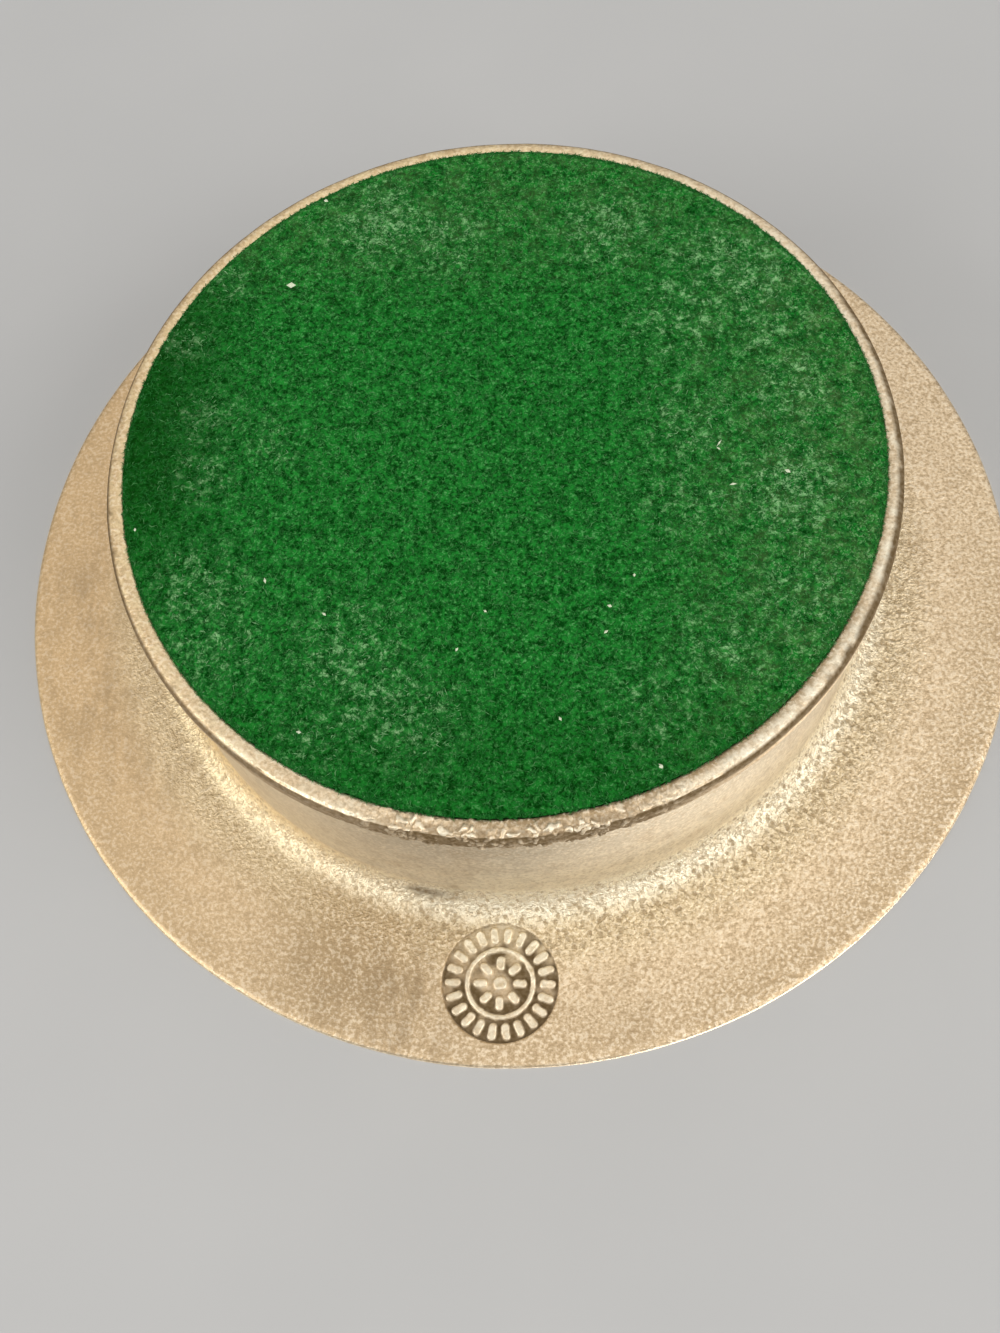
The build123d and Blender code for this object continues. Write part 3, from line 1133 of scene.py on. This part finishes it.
def floor(name, height, rings, facing):
    """A round floor through rings of radius and height. One side shows, and only to the camera."""
    points = [(0, 0, 0)]
    faces = []
    for radius, rise in rings:
        start = len(points)
        points += circle(radius, rise, FLOOR_SEGMENTS)
        if start == 1:
            faces += [(0, 1 + i, 1 + (i + 1) % FLOOR_SEGMENTS) for i in range(FLOOR_SEGMENTS)]
        else:
            faces += band(start, FLOOR_SEGMENTS, start - FLOOR_SEGMENTS, FLOOR_SEGMENTS)
    made = bpy.data.meshes.new(name)
    made.from_pydata(points, [], faces)
    if facing < 0:
        made.flip_normals()
    made.shade_smooth()
    made.materials.append(pale_floor())
    thing = placed(name, made)
    thing.location.z = height
    thing.visible_diffuse = False
    thing.visible_glossy = False
    thing.visible_transmission = False
    thing.visible_shadow = False


def softbox(name, frame_of, place, size, power):
    """A square area light at a place in the given frame, aimed at its origin."""
    light = bpy.data.lights.new(name, "AREA")
    light.size = size
    light.energy = power
    light.color = WARM_LIGHT
    thing = placed(name, light)
    turn = (-Vector(place)).to_track_quat("-Z", "Y").to_matrix().to_4x4()
    thing.matrix_world = frame_of @ Matrix.Translation(place) @ turn


def lay_floors():
    """A floor under the coaster in use, curved up into a wall, and one under it turned over."""
    rings = [(SMALL_FLOOR, 0)]
    for step in range(COVE_STEPS + 1):
        bend = math.pi / 2 * step / COVE_STEPS
        reach = WIDE_FLOOR + COVE_RADIUS * math.sin(bend)
        rings.append((reach, COVE_RADIUS * (1 - math.cos(bend))))
    rings.append((WIDE_FLOOR + COVE_RADIUS, WALL_HEIGHT))
    floor("floor_in_use", FELT_LOW.z - FLOOR_GAP, rings, 1)
    floor("floor_turned_over", RIM_WIDEST - FLOOR_SINK, rings[:1], -1)


def light_studio():
    """Soft light on both faces of the coaster, and a pale dome, darker towards the horizon."""
    upright = Matrix.Translation((0, 0, RIM_TOP / 2))
    softbox("key_felt_side", TURNED_OVER, (0.9, -0.65, 0.62), size=1.1, power=9.5)
    softbox("fill_felt_side", TURNED_OVER, (-1.0, -0.35, 0.52), size=0.8, power=6.5)
    softbox("key_bottle_side", upright, (-0.6, -0.7, 0.8), size=0.8, power=14)
    dome = Nodes(bpy.data.worlds.new("pale_dome"))
    towards = dome.node("ShaderNodeTexCoord", out="Generated")
    height = dome.node("ShaderNodeSeparateXYZ", {}, {0: towards}, out="Z")
    up = height.maths("ABSOLUTE", height).ramp(0.1, 0.75)
    sky = dome.mix(HORIZON, ZENITH, up)
    dome.feed(dome.tree.nodes["Background"].inputs["Color"], sky)
    bpy.context.scene.world = dome.owner


def aim_camera():
    camera = bpy.data.cameras.new("camera")
    camera.sensor_width = SENSOR_WIDTH
    camera.lens = SENSOR_WIDTH * FOCAL_PIXELS / max(PHOTO_WIDTH, PHOTO_HEIGHT)
    camera.clip_start = CLIP_START
    thing = placed("camera", camera)
    lean = Matrix.Rotation(math.pi / 2 - CAMERA_ELEVATION, 4, "X")
    roll = Matrix.Rotation(-CAMERA_ROLL, 4, "Z")
    thing.matrix_world = TURNED_OVER @ Matrix.Translation(CAMERA_PLACE) @ lean @ roll
    bpy.context.scene.camera = thing


casting = cast_body()
felt = felt_pad()
nap = felt_nap()
for piece, slot, replaced in ((casting, "cast_metal", "cast_body"), (felt, "felt", "felt_pad")):
    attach(piece, "root")
    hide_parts(replaced)
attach(nap, "root")
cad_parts["adhesive_film"].material_slots[0].material = glue_film()

lay_floors()
light_studio()
aim_camera()
bpy.context.scene.view_settings.view_transform = "Standard"
